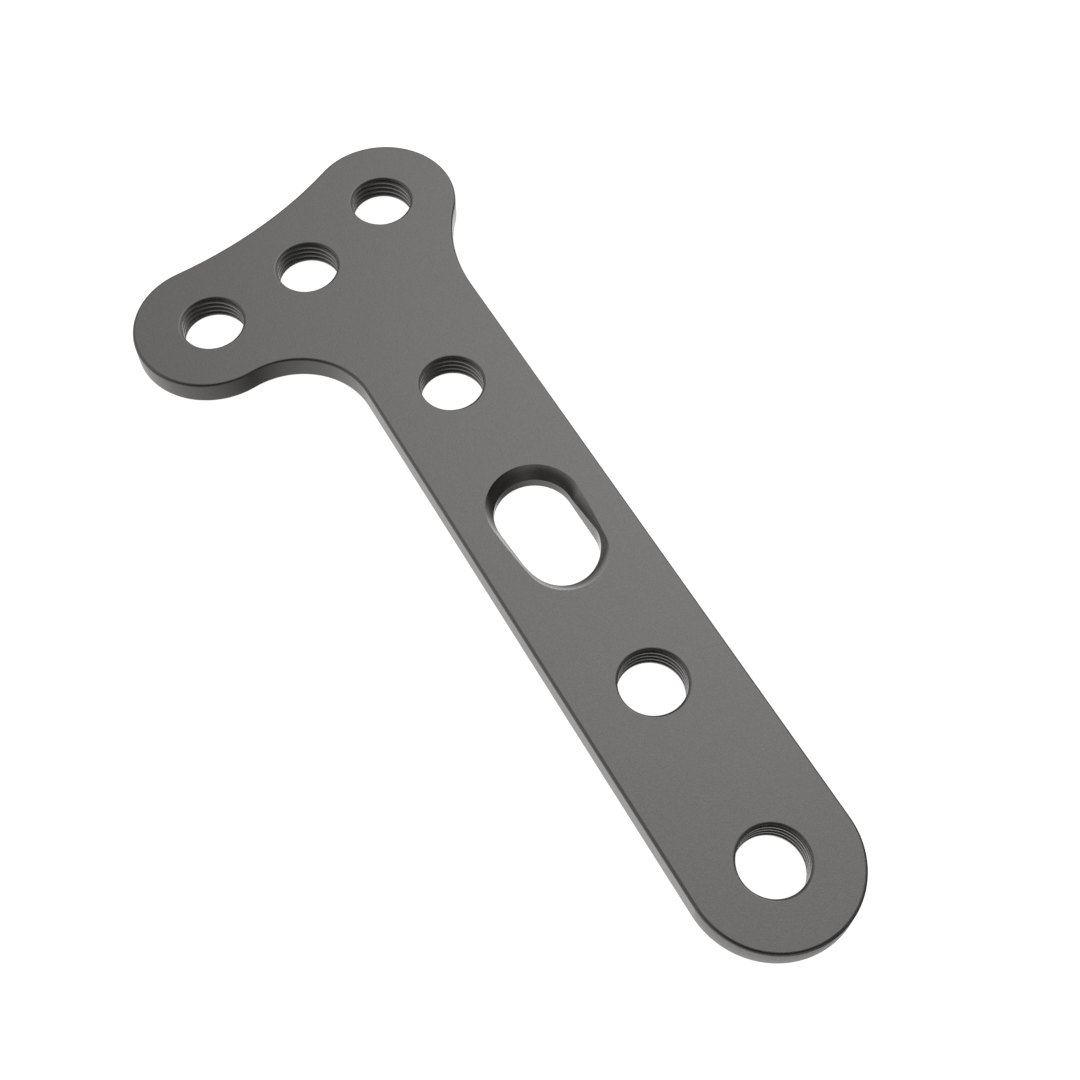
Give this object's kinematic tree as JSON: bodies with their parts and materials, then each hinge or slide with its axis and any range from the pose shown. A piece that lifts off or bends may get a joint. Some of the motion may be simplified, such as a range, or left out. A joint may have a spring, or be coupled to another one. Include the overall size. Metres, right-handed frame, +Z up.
{
  "type": "orthopedic bone plate",
  "caption": "Flat T-shaped bone plate with a slanted head, threaded screw holes and a ramped compression slot.",
  "frame": {"origin": "axis of the tail hole, where it meets the flat underside", "axes": "+Y along the shaft from the tail to the head, +Z up out of the top face, +X across the shaft towards the near end of the head"},
  "size_m": [0.0246, 0.062, 0.0018],
  "materials": {
    "satin_titanium": "fine satin, blasted grey titanium"
  },
  "bodies": {
    "root": {"plate": "satin_titanium"}
  },
  "joints": []
}
